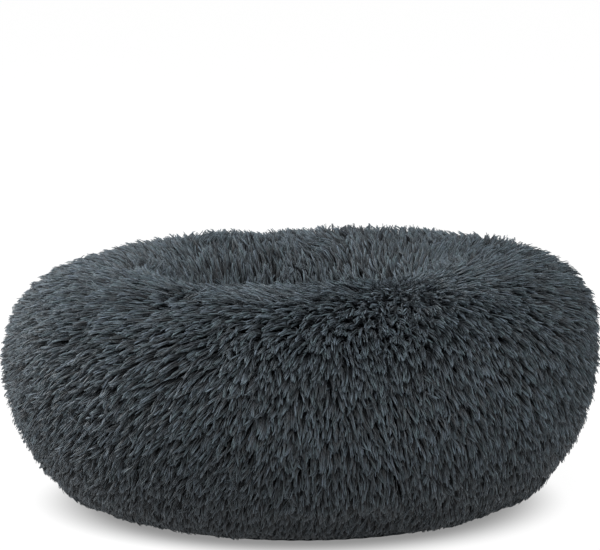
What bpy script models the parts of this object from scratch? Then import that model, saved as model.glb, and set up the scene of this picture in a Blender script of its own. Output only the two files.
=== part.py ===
"""Round shaggy pet bed: a stuffed ring around a seat cushion, on a flat base with a zip.

Metres, +Z up. The origin is the middle of the base, on the floor. -Y is the front.
The soft bodies are turned shapes around Z. The zip lies along X, across the underside:
its slider moves towards -X to open it, and the pull swings on the slider's pin.
"""

from math import asin, copysign, cos, pi, radians, sin

import bmesh
import bpy

# Overall sizes
OUTER_RADIUS = 0.250
HEIGHT = 0.205
NEST_RADIUS = 0.076  # narrowest radius of the nest, between the ring's inner walls
CREST_RADIUS = 0.160  # radius of the ring's highest line
BULGE_HEIGHT = 0.130  # height at which the outer wall is widest
WAIST_HEIGHT = 0.118  # height at which the nest is narrowest
SHOULDER_FULLNESS = 2.5  # 2 is an ellipse; more makes the ring's outer shoulder squarer
NEST_FULLNESS = 2.2  # the same for the slope into the nest

# How the ring meets the base and the seat
BASE_TUCK = 0.095  # how far the base seam lies inside the outer edge
SEAT_TUCK = 0.030  # how far the seat seam lies outside the nest's narrowest radius
SEAT_SEAM_HEIGHT = 0.047
SEAT_CROWN = 0.013  # how much higher the seat is in its middle than at its seam

# Thicknesses
PILE_DEPTH = 0.020  # fur and backing of the ring's cover
SEAM_DEPTH = 0.0043  # the same cover where it is flattened into a seam
SEAT_EDGE_DEPTH = 0.005
LINER_WALL = 0.0008
BASE_CLOTH = 0.0015
WADDING = 0.0044
BINDING_WIDTH = 0.008
BINDING_WALL = 0.0014
THREAD = 0.0009
SEAT_CORNER = 0.010  # rounding of the seat liner's edges

# Clearances
TOUCH = 0.0003  # between pieces that touch
NEST_FIT = 0.0005  # between one soft layer and the next
SEAM_ROOM = 0.0010  # beside the seat seam, for its stitches

# Zip, measured across the opening (y) and up from the floor (z)
OPENING_HALF_WIDTH = 0.008
OPENING_EDGE_MARGIN = 0.022  # from each end of the opening to the base's edge
HEM_WIDTH = 0.011
HEM_TOP = 0.0036
TAPE_WALL = 0.0005
TAPE_OUTER_HALF_WIDTH = 0.018
COIL_GAP = 0.0006  # half the gap between the two coils
COIL_WIDTH = 0.0026
COIL_HEIGHT = 0.0010
STOP_LENGTH = 0.0027
SLIDER_LENGTH = 0.010
SLIDER_HALF_WIDTH = 0.0042
SLIDER_PLATE = 0.0008
SLIDER_WEB = 0.0003  # half the thickness of the web between the two coils
EAR_LENGTH = 0.0026
EAR_INNER = 0.0015
EAR_OUTER = 0.0023
PIN_RADIUS = 0.00035
PIN_HEIGHT = 0.0014
PULL_LENGTH = 0.024
PULL_HALF_WIDTH = 0.0030
PULL_NECK_HALF_WIDTH = 0.0012
PULL_NECK_LENGTH = 0.0032
PULL_WALL = 0.0009
EYE_RADIUS = 0.00095
EYE_BORE = 0.00055

# Care label, sewn into the base seam at the back
LABEL_WIDTH = 0.024
LABEL_LENGTH = 0.030
LABEL_WALL = 0.0005
LABEL_ANGLE = radians(112)

# Mesh resolution
SEGMENTS = 48
FUR_STEPS = 6  # stretches in each quarter of the ring's section, on the fur side
ARC_STEPS = 4  # the same on the layers inside
ROUND_SIDES = 12

# Worked out from the sizes above
BASE_RADIUS = OUTER_RADIUS - BASE_TUCK
SEAT_RADIUS = NEST_RADIUS + SEAT_TUCK
COVER_BOTTOM = BASE_CLOTH + 2 * TOUCH
LINER_BOTTOM = COVER_BOTTOM + SEAM_DEPTH + NEST_FIT
OPENING_HALF_LENGTH = BASE_RADIUS - OPENING_EDGE_MARGIN
TAPE_BOTTOM = HEM_TOP + TOUCH
COIL_TOP = TAPE_BOTTOM - TOUCH
COIL_BOTTOM = COIL_TOP - COIL_HEIGHT
PULL_ROOM = EAR_LENGTH + PULL_LENGTH + 0.003
COIL_HALF_LENGTH = OPENING_HALF_LENGTH - PULL_ROOM
SLIDER_REST_X = COIL_HALF_LENGTH - SLIDER_LENGTH / 2
PIN_X = SLIDER_REST_X + SLIDER_LENGTH / 2 + EAR_LENGTH - 2 * PIN_RADIUS

FUR = ((0.048, 0.060, 0.070), 0.95, 0.0)
SEAT_FUR = ((0.052, 0.065, 0.076), 0.95, 0.0)
BASE_CLOTH_LOOK = ((0.018, 0.020, 0.023), 0.80, 0.0)
BINDING_LOOK = ((0.025, 0.028, 0.032), 0.80, 0.0)
WADDING_LOOK = ((0.78, 0.78, 0.76), 0.95, 0.0)
FIBRE_LOOK = ((0.88, 0.88, 0.86), 0.98, 0.0)
LINER_LOOK = ((0.70, 0.71, 0.70), 0.85, 0.0)
THREAD_LOOK = ((0.04, 0.05, 0.06), 0.70, 0.0)
LINER_THREAD_LOOK = ((0.62, 0.62, 0.60), 0.75, 0.0)
TAPE_LOOK = ((0.020, 0.022, 0.026), 0.85, 0.0)
COIL_LOOK = ((0.015, 0.016, 0.018), 0.40, 0.0)
METAL_LOOK = ((0.10, 0.10, 0.11), 0.35, 1.0)
LABEL_LOOK = ((0.80, 0.80, 0.78), 0.60, 0.0)


def clear_scene():
    for obj in list(bpy.data.objects):
        bpy.data.objects.remove(obj, do_unlink=True)


def make_material(name, look):
    colour, roughness, metallic = look
    material = bpy.data.materials.new(name + "_material")
    material.use_nodes = True
    shader = material.node_tree.nodes["Principled BSDF"]
    shader.inputs["Base Color"].default_value = (*colour, 1.0)
    shader.inputs["Roughness"].default_value = roughness
    shader.inputs["Metallic"].default_value = metallic
    material.diffuse_color = (*colour, 1.0)
    return material


def add_object(name, mesh_builder, look, smooth=False):
    """Make one named object from a filled bmesh, with its faces pointing out."""
    bmesh.ops.recalc_face_normals(mesh_builder, faces=mesh_builder.faces)
    mesh = bpy.data.meshes.new(name)
    mesh_builder.to_mesh(mesh)
    mesh_builder.free()
    if smooth:
        mesh.shade_smooth()
        mesh.set_sharp_from_angle(angle=radians(40))
    mesh.materials.append(make_material(name, look))
    obj = bpy.data.objects.new(name, mesh)
    bpy.context.scene.collection.objects.link(obj)
    return obj


def turned(name, outline, look):
    """Turn a closed outline of (radius, height) points around Z."""
    builder = bmesh.new()
    rings = []
    for radius, height in outline:
        if radius < 1e-6:
            rings.append([builder.verts.new((0.0, 0.0, height))] * SEGMENTS)
            continue
        ring = []
        for step in range(SEGMENTS):
            angle = 2 * pi * step / SEGMENTS
            ring.append(builder.verts.new((radius * cos(angle), radius * sin(angle), height)))
        rings.append(ring)
    for lower, upper in zip(rings, rings[1:] + rings[:1]):
        for step in range(SEGMENTS):
            following = (step + 1) % SEGMENTS
            corners = [lower[step], lower[following], upper[following], upper[step]]
            corners = list(dict.fromkeys(corners))
            if len(corners) > 2:
                builder.faces.new(corners)
    return add_object(name, builder, look, smooth=True)


def extruded(name, outline, bottom, top, look):
    """Raise a closed outline of (x, y) points from bottom to top."""
    builder = bmesh.new()
    low = [builder.verts.new((x, y, bottom)) for x, y in outline]
    high = [builder.verts.new((x, y, top)) for x, y in outline]
    count = len(outline)
    builder.faces.new(low)
    builder.faces.new(high)
    for index in range(count):
        following = (index + 1) % count
        builder.faces.new((low[index], low[following], high[following], high[index]))
    return add_object(name, builder, look)


def block(name, x_range, y_range, z_range, look):
    outline = [
        (x_range[0], y_range[0]),
        (x_range[1], y_range[0]),
        (x_range[1], y_range[1]),
        (x_range[0], y_range[1]),
    ]
    return extruded(name, outline, z_range[0], z_range[1], look)


def fuller(value, fullness):
    """A cosine or sine bent towards a superellipse's, with its sign kept."""
    if abs(value) < 1e-9:
        return 0.0
    return copysign(abs(value) ** (2 / fullness), value)


def arc(centre, width, height, start, end, steps=ARC_STEPS, fullness=2.0):
    """Points along a superellipse's arc; the angles are in degrees, from the outer side up."""
    points = []
    for step in range(steps + 1):
        angle = radians(start + (end - start) * step / steps)
        along = fuller(cos(angle), fullness)
        up = fuller(sin(angle), fullness)
        points.append((centre[0] + width * along, centre[1] + height * up))
    return points


def combine(target, tool, operation):
    """Cut or join another object into this one, and keep the other as a hidden guide."""
    tool.hide_render = True
    tool.display_type = "WIRE"
    modifier = target.modifiers.new(operation.lower() + "_" + tool.name, "BOOLEAN")
    modifier.operation = operation
    modifier.object = tool


# ---------------------------------------------------------------- ring


def ring_walls(depth, seam_depth, steps=ARC_STEPS):
    """The ring's section, this far inside the fur, and this far inside it at the seams.

    Returns two lists: the outer wall from the base seam up to the bulge and over the
    crest, and the inner wall from the waist down to the seat seam.
    """
    extra = seam_depth - SEAM_DEPTH
    shift = extra + SEAM_ROOM if extra > 0 else 0.0
    base_z = COVER_BOTTOM + seam_depth
    seat_z = SEAT_SEAM_HEIGHT + seam_depth
    seat_r = SEAT_RADIUS + shift
    low_outer = arc(
        (BASE_RADIUS, BULGE_HEIGHT),
        BASE_TUCK - depth,
        BULGE_HEIGHT - base_z,
        -90,
        0,
        steps,
    )
    high_outer = arc(
        (CREST_RADIUS, BULGE_HEIGHT),
        OUTER_RADIUS - CREST_RADIUS - depth,
        HEIGHT - BULGE_HEIGHT - depth,
        0,
        90,
        steps,
        SHOULDER_FULLNESS,
    )
    high_inner = arc(
        (CREST_RADIUS, WAIST_HEIGHT),
        CREST_RADIUS - NEST_RADIUS - depth,
        HEIGHT - WAIST_HEIGHT - depth,
        90,
        180,
        steps,
        NEST_FULLNESS,
    )
    low_inner = arc(
        (seat_r, WAIST_HEIGHT),
        seat_r - NEST_RADIUS - depth,
        WAIST_HEIGHT - seat_z,
        180,
        270,
        steps,
    )
    return low_outer, high_outer[1:] + high_inner[1:], low_inner[1:]


def whole_wall(depth, seam_depth, steps=ARC_STEPS):
    low_outer, top, low_inner = ring_walls(depth, seam_depth, steps)
    return low_outer + top + low_inner


def layer_depths(layer):
    """Depths of the soft layers inside the cover: 0 liner outside, 1 its inside, 2 filling."""
    extra = (NEST_FIT, NEST_FIT + LINER_WALL, 2 * NEST_FIT + LINER_WALL)[layer]
    return PILE_DEPTH + extra, SEAM_DEPTH + extra


def make_ring_cover():
    fur_side = whole_wall(0.0, 0.0, FUR_STEPS)
    back_side = whole_wall(PILE_DEPTH, SEAM_DEPTH)
    return turned("rim_cover", fur_side + back_side[::-1], FUR)


def make_ring_liner():
    """Two ring-shaped panels: the upper one over the crest, the lower one along the base."""
    walls = [ring_walls(*layer_depths(layer)) for layer in (0, 1)]
    tops = []
    bottoms = []
    for low_outer, top, low_inner in walls:
        tops.append([low_outer[-1]] + top)
        foot = (low_inner[-1][0], low_outer[0][1])
        bottoms.append([top[-1]] + low_inner + [foot] + low_outer)
    clear = THREAD / 2 + TOUCH
    upper = [trimmed(side, clear) for side in tops]
    lower = [trimmed(side, clear) for side in bottoms]
    turned("rim_liner_upper", upper[0] + upper[1][::-1], LINER_LOOK)
    turned("rim_liner_lower", lower[0] + lower[1][::-1], LINER_LOOK)
    outer_seam = walls[0][0][-1]
    inner_seam = walls[0][1][-1]
    seam_ring("rim_liner_outer_seam", outer_seam[0] - LINER_WALL, outer_seam[0], outer_seam[1])
    seam_ring("rim_liner_inner_seam", inner_seam[0], inner_seam[0] + LINER_WALL, inner_seam[1])


def trimmed(side, distance):
    """Shorten a polyline at both ends, along its end stretches."""
    result = list(side)
    for end, neighbour in ((0, 1), (-1, -2)):
        (r0, z0), (r1, z1) = result[end], result[neighbour]
        share = distance / ((r1 - r0) ** 2 + (z1 - z0) ** 2) ** 0.5
        result[end] = (r0 + (r1 - r0) * share, z0 + (z1 - z0) * share)
    return result


def seam_ring(name, inner, outer, height, look=LINER_THREAD_LOOK):
    low = height - THREAD / 2
    high = height + THREAD / 2
    return turned(name, [(inner, low), (outer, low), (outer, high), (inner, high)], look)


def make_ring_fill():
    wall = whole_wall(*layer_depths(2))
    foot = (wall[-1][0], wall[0][1])
    return turned("rim_fill", wall + [foot], FIBRE_LOOK)


# ---------------------------------------------------------------- seat


def make_seat_cover():
    edge_top = SEAT_SEAM_HEIGHT - TOUCH
    bottom = edge_top - SEAT_EDGE_DEPTH
    top = []
    for step in range(ARC_STEPS + 1):
        share = step / ARC_STEPS
        top.append((SEAT_RADIUS * share, edge_top + SEAT_CROWN * 0.5 * (1 + cos(pi * share))))
    return turned("seat_cover", top + [(SEAT_RADIUS, bottom), (0.0, bottom)], SEAT_FUR)


def seat_bag(depth):
    """Half-sections of the seat's liner or filling, this far inside the liner's outside."""
    edge = SEAT_RADIUS - NEST_FIT - depth
    top = SEAT_SEAM_HEIGHT - TOUCH - SEAT_EDGE_DEPTH - NEST_FIT - depth
    bottom = LINER_BOTTOM + depth
    middle = (top + bottom) / 2
    corner = SEAT_CORNER - depth
    rounded_top = arc((edge - corner, top - corner), corner, corner, 90, 0)
    rounded_bottom = arc((edge - corner, bottom + corner), corner, corner, 0, -90)
    upper = [(0.0, top)] + rounded_top + [(edge, middle)]
    lower = [(edge, middle)] + rounded_bottom + [(0.0, bottom)]
    return upper, lower


def make_seat_inner():
    outside = seat_bag(0.0)
    inside = seat_bag(LINER_WALL)
    clear = THREAD / 2 + TOUCH
    upper = [side[:-1] + [(side[-1][0], side[-1][1] + clear)] for side in (outside[0], inside[0])]
    lower = [[(side[0][0], side[0][1] - clear)] + side[1:] for side in (outside[1], inside[1])]
    turned("seat_liner_top", upper[0] + upper[1][::-1], LINER_LOOK)
    turned("seat_liner_bottom", lower[0] + lower[1][::-1], LINER_LOOK)
    edge, middle = outside[0][-1]
    seam_ring("seat_liner_seam", edge - LINER_WALL, edge, middle)
    fill_top, fill_bottom = seat_bag(LINER_WALL + NEST_FIT)
    turned("seat_fill", fill_top + fill_bottom[1:], FIBRE_LOOK)


def make_seat_seam():
    """The stitch line in the crease, under the ring cover's seat edge and beside the seat."""
    inner = SEAT_RADIUS + TOUCH
    middle = SEAT_SEAM_HEIGHT - TOUCH - THREAD / 2
    return seam_ring("seat_seam_thread", inner, inner + THREAD / 2, middle, THREAD_LOOK)


# ---------------------------------------------------------------- base


def half_disc(radius, chord, side):
    """A half disc's outline on one side of X: side is 1 for the back and -1 for the front."""
    start = asin(chord / radius)
    steps = SEGMENTS // 2
    points = []
    for step in range(steps + 1):
        angle = start + (pi - 2 * start) * step / steps
        points.append((radius * cos(angle), side * radius * sin(angle)))
    return points


def make_base_half(word, side):
    half_gap = TOUCH / 2
    notch = OPENING_HALF_WIDTH
    outline = half_disc(BASE_RADIUS - TOUCH, half_gap, side)
    outline += [
        (-OPENING_HALF_LENGTH, side * half_gap),
        (-OPENING_HALF_LENGTH, side * notch),
        (OPENING_HALF_LENGTH, side * notch),
        (OPENING_HALF_LENGTH, side * half_gap),
    ]
    panel = extruded("base_panel_" + word, outline, 0.0, BASE_CLOTH, BASE_CLOTH_LOOK)
    inset = TOUCH
    hem_y = sorted((side * (notch + inset), side * (notch + HEM_WIDTH)))
    hem_x = OPENING_HALF_LENGTH - inset
    hem_z = (BASE_CLOTH / 2, HEM_TOP)
    hem = block("hem_guide_" + word, (-hem_x, hem_x), hem_y, hem_z, BASE_CLOTH_LOOK)
    combine(panel, hem, "UNION")
    wadding_bottom = BASE_CLOTH + TOUCH
    extruded(
        "base_wadding_" + word,
        half_disc(BASE_RADIUS - 2 * TOUCH, notch + HEM_WIDTH + 2 * TOUCH, side),
        wadding_bottom,
        wadding_bottom + WADDING,
        WADDING_LOOK,
    )


def make_binding():
    top = COVER_BOTTOM - TOUCH
    outline = [
        (BASE_RADIUS, top - BINDING_WALL),
        (BASE_RADIUS + BINDING_WIDTH, top - BINDING_WALL),
        (BASE_RADIUS + BINDING_WIDTH, top),
        (BASE_RADIUS, top),
    ]
    return turned("base_binding", outline, BINDING_LOOK)


def make_label():
    start = BASE_RADIUS + BINDING_WIDTH + TOUCH
    half = LABEL_WIDTH / 2
    bottom = BASE_CLOTH / 2
    label = block(
        "care_label", (start, start + LABEL_LENGTH), (-half, half), (0.0, LABEL_WALL), LABEL_LOOK
    )
    label.location = (0.0, 0.0, bottom)
    label.rotation_euler = (0.0, 0.0, LABEL_ANGLE)
    return label


# ---------------------------------------------------------------- zip


def make_zip_half(word, side):
    tape_x = OPENING_HALF_LENGTH - TOUCH
    tape_y = sorted((side * COIL_GAP, side * TAPE_OUTER_HALF_WIDTH))
    tape_z = (TAPE_BOTTOM, TAPE_BOTTOM + TAPE_WALL)
    block("zip_tape_" + word, (-tape_x, tape_x), tape_y, tape_z, TAPE_LOOK)
    coil_y = sorted((side * COIL_GAP, side * (COIL_GAP + COIL_WIDTH)))
    coil_x = (-COIL_HALF_LENGTH, COIL_HALF_LENGTH)
    block("zip_coil_" + word, coil_x, coil_y, (COIL_BOTTOM, COIL_TOP), COIL_LOOK)


def make_zip_stop(name, side):
    inner = COIL_HALF_LENGTH + TOUCH
    x_range = sorted((side * inner, side * (inner + STOP_LENGTH)))
    half = COIL_GAP + COIL_WIDTH
    return block(name, x_range, (-half, half), (COIL_BOTTOM, COIL_TOP), METAL_LOOK)


def round_bar(name, radius, half_length, look):
    """A bar along Y around the origin."""
    outline = []
    for step in range(ROUND_SIDES):
        angle = 2 * pi * step / ROUND_SIDES
        outline.append((radius * cos(angle), radius * sin(angle)))
    bar = extruded(name, outline, -half_length, half_length, look)
    bar.rotation_euler = (pi / 2, 0.0, 0.0)
    return bar


def make_slider():
    """Two plates and a web between the coils, with two ears and a pin for the pull."""
    gap = 2 * TOUCH
    outer_top = COIL_BOTTOM - TOUCH
    inner_bottom = TAPE_BOTTOM + TAPE_WALL + TOUCH
    half = SLIDER_LENGTH / 2
    wide = SLIDER_HALF_WIDTH
    low = outer_top - SLIDER_PLATE
    high = inner_bottom + SLIDER_PLATE
    profile = [
        (-wide, low),
        (wide, low),
        (wide, outer_top),
        (SLIDER_WEB, outer_top),
        (SLIDER_WEB, inner_bottom),
        (wide, inner_bottom),
        (wide, high),
        (-wide, high),
        (-wide, inner_bottom),
        (-SLIDER_WEB, inner_bottom),
        (-SLIDER_WEB, outer_top),
        (-wide, outer_top),
    ]
    builder = bmesh.new()
    back = [builder.verts.new((-half, y, z)) for y, z in profile]
    front = [builder.verts.new((half, y, z)) for y, z in profile]
    builder.faces.new(back)
    builder.faces.new(front)
    for index in range(len(profile)):
        following = (index + 1) % len(profile)
        builder.faces.new((back[index], back[following], front[following], front[index]))
    slider = add_object("zip_slider", builder, METAL_LOOK)
    slider.location = (SLIDER_REST_X, 0.0, 0.0)
    ear_low = PIN_HEIGHT - 2 * PIN_RADIUS
    ear_high = outer_top - gap / 4
    for side, word in ((-1, "front"), (1, "back")):
        ear = block(
            "ear_guide_" + word,
            (half - 2 * gap, half + EAR_LENGTH),
            sorted((side * EAR_INNER, side * EAR_OUTER)),
            (ear_low, ear_high),
            METAL_LOOK,
        )
        ear.parent = slider
        combine(slider, ear, "UNION")
    pin = round_bar("pin_guide", PIN_RADIUS, (EAR_INNER + EAR_OUTER) / 2, METAL_LOOK)
    pin.location = (PIN_X - SLIDER_REST_X, 0.0, PIN_HEIGHT)
    pin.parent = slider
    combine(slider, pin, "UNION")
    return slider


def make_pull(slider):
    """A flat tab with a narrow neck and a round eye on the slider's pin."""
    half_wall = PULL_WALL / 2
    neck = PULL_NECK_HALF_WIDTH
    neck_start = (EYE_RADIUS + EYE_BORE) / 2
    corner = PULL_HALF_WIDTH / 2
    outline = [
        (neck_start, -neck),
        (PULL_NECK_LENGTH, -neck),
        (PULL_NECK_LENGTH + corner, -PULL_HALF_WIDTH),
        (PULL_LENGTH - corner, -PULL_HALF_WIDTH),
        (PULL_LENGTH, -PULL_HALF_WIDTH + corner),
    ]
    outline += [(x, -y) for x, y in outline[::-1]]
    tab = extruded("zip_pull", outline, -half_wall, half_wall, METAL_LOOK)
    tab.parent = slider
    tab.location = (PIN_X - SLIDER_REST_X, 0.0, PIN_HEIGHT)
    eye = round_bar("eye_guide", EYE_RADIUS, neck - TOUCH / 10, METAL_LOOK)
    eye.parent = tab
    combine(tab, eye, "UNION")
    bore = round_bar("bore_guide", EYE_BORE, 2 * neck, METAL_LOOK)
    bore.parent = tab
    combine(tab, bore, "DIFFERENCE")
    return tab


def build():
    clear_scene()
    make_ring_cover()
    make_ring_liner()
    make_ring_fill()
    make_seat_cover()
    make_seat_inner()
    make_seat_seam()
    for word, side in (("front", -1), ("back", 1)):
        make_base_half(word, side)
        make_zip_half(word, side)
    make_binding()
    make_label()
    make_zip_stop("zip_closed_end_stop", 1)
    make_zip_stop("zip_open_end_stop", -1)
    make_pull(make_slider())


build()
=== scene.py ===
from math import atan2, cos, hypot, pi, radians, sin

import bmesh
import bpy
import numpy as np
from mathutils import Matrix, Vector
from mathutils.bvhtree import BVHTree


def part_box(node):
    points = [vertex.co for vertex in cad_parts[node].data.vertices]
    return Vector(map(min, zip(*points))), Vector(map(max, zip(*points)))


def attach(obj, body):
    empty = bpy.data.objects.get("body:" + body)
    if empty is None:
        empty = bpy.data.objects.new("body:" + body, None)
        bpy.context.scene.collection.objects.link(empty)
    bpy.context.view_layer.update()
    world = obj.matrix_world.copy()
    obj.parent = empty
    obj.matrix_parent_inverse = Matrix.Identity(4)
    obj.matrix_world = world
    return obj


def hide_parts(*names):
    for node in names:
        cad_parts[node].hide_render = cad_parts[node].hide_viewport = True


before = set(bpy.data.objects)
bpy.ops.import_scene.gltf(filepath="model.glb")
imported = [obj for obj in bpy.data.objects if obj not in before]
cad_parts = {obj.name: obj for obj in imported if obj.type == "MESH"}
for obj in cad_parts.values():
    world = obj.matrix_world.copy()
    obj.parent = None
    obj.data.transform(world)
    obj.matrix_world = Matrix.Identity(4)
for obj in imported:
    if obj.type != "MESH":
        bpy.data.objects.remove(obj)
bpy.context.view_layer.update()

# ---------------------------------------------------------------- sizes, in metres

SEED = 7

# The ring's section: 2 is an ellipse, and more makes its shoulder squarer
SHOULDER_FULLNESS = 2.5
NEST_FULLNESS = 2.2
QUARTER_STEPS = 90
SECTION_POINTS = 600

# Long fur of the ring. Each lock is one thick strand and thinner ones that gather round it.
# On the front it is a share shorter than on the left and over the crest.
PILE_THICKNESS = 0.017
LOCK_SPACING = 0.0038
LOCK_LENGTH = 0.030
SHORT_SHARE = 0.66
LENGTH_RANGE = (0.78, 1.18)
LIFT_RANGE = (0.62, 1.15)
LOCK_TURN = 9  # degrees that one lock strays from its neighbours
LOCK_CURL = 20  # degrees that it turns along its length
WILD_SHARE = 0.05
WILD_TURN = 30
LOCK_STRANDS = (1.35, 0.85, 0.80, 0.75)
LOCK_SPREAD = (0.15, 0.42)  # of the thick strand and of the thin ones, as shares of the spacing
STRAND_RADIUS = 0.00044
STRAND_STOPS = (0.0, 0.35, 0.66, 0.92, 1.0)
STRAND_WIDTHS = (0.85, 1.00, 1.05, 0.85)
STRAND_WIGGLE = 0.0006
RING_SECTORS = 16
PAINTED_SHADE_HEIGHTS = (0.015, 0.130)  # painted shade: between these heights the locks go from their darkest, near the floor, to the full range
SHADE_SPREAD = 0.10
BACKING_THICKNESS = 0.0016
BUNCH_PITCH = 0.0105
BUNCH_PULL = 0.0013
LEAST_HEIGHT = 0.0014  # of a strand, over the floor
BINDING_ROOM = 0.0096  # kept free outside the base for its binding

# How the ring's fur is brushed away from straight down, in degrees. On the front crest it is also
# brushed to the left, round a place this far right of the front, for this width and distance.
LEFT_SWEEP = 58
RIGHT_SWEEP = 40
CREST_SWEEP = 60
CREST_SWEEP_PLACE = 4
CREST_SWEEP_WIDTH = 36
CREST_SWEEP_REACH = 0.062
UNEVEN_SWEEP = 8

# Cloth simulation of the stuffed covers, and the rows and columns of their grids
RING_CLOTH = (84, 150)
RING_BACKING = (110, 180)
SEAT_CLOTH = (30, 72)
SIM_FRAMES = 20
SIM_PRESSURE = 4.0
SIM_SLACK = 0.07
SIM_LIMIT = 0.0060
SIM_START = 0.0025
SIM_FOLDS = 1.6
SEAM_FADE = 0.07  # along the fur from each seam of the ring, where the folds fade in

# Whorls of the ring's fur: degrees round from the front, metres outward along the fur from the
# crest, size in metres, and the turn in degrees
WHORLS = (
    (-29, 0.012, 0.016, 150),
    (-12, 0.020, 0.020, -30),
    (62, -0.045, 0.022, -110),
    (84, -0.030, 0.028, 80),
    (-96, -0.035, 0.022, -90),
    (-62, -0.018, 0.018, 70),
    (128, 0.015, 0.026, 60),
    (-150, 0.005, 0.024, -70),
    (171, -0.030, 0.022, 90),
)

# Shorter fur of the seat
SEAT_PILE = 0.011
SEAT_SPACING = 0.0046
SEAT_LENGTH = 0.024
SEAT_TURN = 14
SEAT_LIFT = (0.75, 1.15)
SEAT_SPREAD = (0.25, 0.6)
SEAT_HEADING = 238  # degrees anticlockwise from +X

# Studio: the sky's brightness at the horizon and overhead, and the white floor, which glows
# like a light table, with a painted shadow round the bed where it glows less
SKY_LOW = 0.10
SKY_HIGH = 0.62
FLOOR_WHITE = 0.06
# Painted shadow: the floor glows only at the first value inside the first radius, rising to the
# second value past the second radius
FLOOR_GLOW_IN_PAINTED_SHADOW = 0.28
FLOOR_GLOW_FAR = 0.95
PAINTED_FLOOR_SHADOW_RADII = (0.165, 0.232)
FLOOR_SIZE = 12.0
CAMERA_ELEVATION = 9.1
CAMERA_DISTANCE = 3.0
CAMERA_LENS = 213.6  # millimetres
CAMERA_AIM = (0.0, 0.0, 0.1915)

# Softboxes: place, target, side in metres and power in watts
LIGHTS = {
    "key_softbox": ((-2.5, 0.3, 1.35), (0, 0, 0.15), 1.2, 110),
    "front_softbox": ((0.5, -2.0, 1.9), (0, 0, 0.12), 1.4, 90),
}

# Opening for the zip in the base, stitches, the zip's coil and the care label
OPENING = {"half_length": 0.1325, "half_width": 0.008, "hem": 0.019}
HEM_STITCH = 0.0032
BINDING_STITCH = 0.0034
COIL_PITCH = 0.00145
COIL_WIRE = 0.00026
COIL_STEPS = 14
ROUND_SIDES = 6
LABEL_SIZE = (0.024, 0.030)
BEVELS = {
    "zip_slider": 0.00016,
    "zip_pull": 0.00018,
    "zip_closed_end_stop": 0.0002,
    "zip_open_end_stop": 0.0002,
}

# The ring leans up a little to the right, its left shoulder slumps, and its stuffing is lumpy
LEAN = 0.0055
SLUMP = 0.013
LUMPS = ((3, 0.0016, 0.4), (5, 0.0013, 2.1), (8, 0.0009, 4.0), (13, 0.0006, 1.3))

# Fur colours at the root, in the middle and at the tip
RING_COLOURS = ((0.0008, 0.0012, 0.0015), (0.0040, 0.0056, 0.0069), (0.0435, 0.060, 0.0685))
SEAT_COLOURS = ((0.001, 0.0012, 0.0015), (0.0045, 0.006, 0.0072), (0.042, 0.055, 0.062))
# Range of lock brightness; on the ring it also carries the painted shade of the locks near the floor
LOCK_SHADES = (0.34, 1.80)
LOCK_TINTS = ((0.93, 1.00, 0.98), (1.06, 0.99, 1.10))

# Woven base cloth: threads to the metre
BASE_THREADS = 1600
BANDS_PER_SCALE = 3.1831  # bands to the metre that one unit of the texture's scale gives

# Grainy materials: dark and light colour, grains to the metre and roughness, and where they
# aren't the usual ones, the depth of the grain and how it is stretched
GRAINY = {
    "fur_backing": ((0.004, 0.005, 0.006), (0.012, 0.014, 0.017), 900, (0.85, 1.0)),
    "seam_thread": ((0.010, 0.012, 0.014), (0.040, 0.046, 0.052), 2600, (0.5, 0.8)),
    "zip_nylon": ((0.012, 0.013, 0.015), (0.030, 0.033, 0.037), 700, (0.28, 0.42)),
    "wadding": ((0.55, 0.55, 0.54), (0.80, 0.80, 0.79), 220, (0.85, 1.0), 0.0006),
    "label_satin": ((0.62, 0.62, 0.60), (0.78, 0.78, 0.76), 300, (0.25, 0.45), 0.00006, (12, 1, 1)),
    "liner_nonwoven": ((0.52, 0.52, 0.50), (0.74, 0.74, 0.72), 420, (0.75, 0.95)),
    "liner_thread": ((0.55, 0.55, 0.53), (0.80, 0.80, 0.78), 2400, (0.5, 0.8)),
    "fibre_fill": ((0.62, 0.62, 0.61), (0.90, 0.90, 0.89), 150, (0.85, 1.0), 0.002),
}


# ---------------------------------------------------------------- measures of the frame


def mesh_points(mesh):
    points = np.zeros(len(mesh.vertices) * 3, np.float32)
    mesh.vertices.foreach_get("co", points)
    return points.reshape(-1, 3)


def node_points(name):
    return mesh_points(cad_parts[name].data).astype(float)


def measure_ring():
    """The driving sizes of the ring's section, read from its CAD solid."""
    points = node_points("rim_cover")
    radius = np.hypot(points[:, 0], points[:, 1])
    height = points[:, 2]
    base = radius[height.argmin()]
    nest = radius.min()
    seat_side = radius < 0.8 * base
    seat_z = height[seat_side].min()
    seat_r = radius[seat_side & (height < seat_z + 1e-4)].max()
    return {
        "outer": radius.max(),
        "bulge_z": height[radius > radius.max() - 1e-4].mean(),
        "top": height.max(),
        "crest": radius[height > height.max() - 1e-4].mean(),
        "nest": nest,
        "waist_z": height[radius < nest + 1e-4].mean(),
        "base_r": base,
        "base_z": height.min(),
        "seat_r": seat_r,
        "seat_z": seat_z,
    }


RING = measure_ring()
SEAT = {
    "radius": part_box("seat_cover")[1][0],
    "top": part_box("seat_cover")[1][2],
    "seam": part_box("seat_seam_thread")[1][2],
}
BASE = {"radius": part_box("base_panel_back")[1][0]}


def power(value, fullness):
    return np.sign(value) * np.abs(value) ** (2 / fullness)


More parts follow.
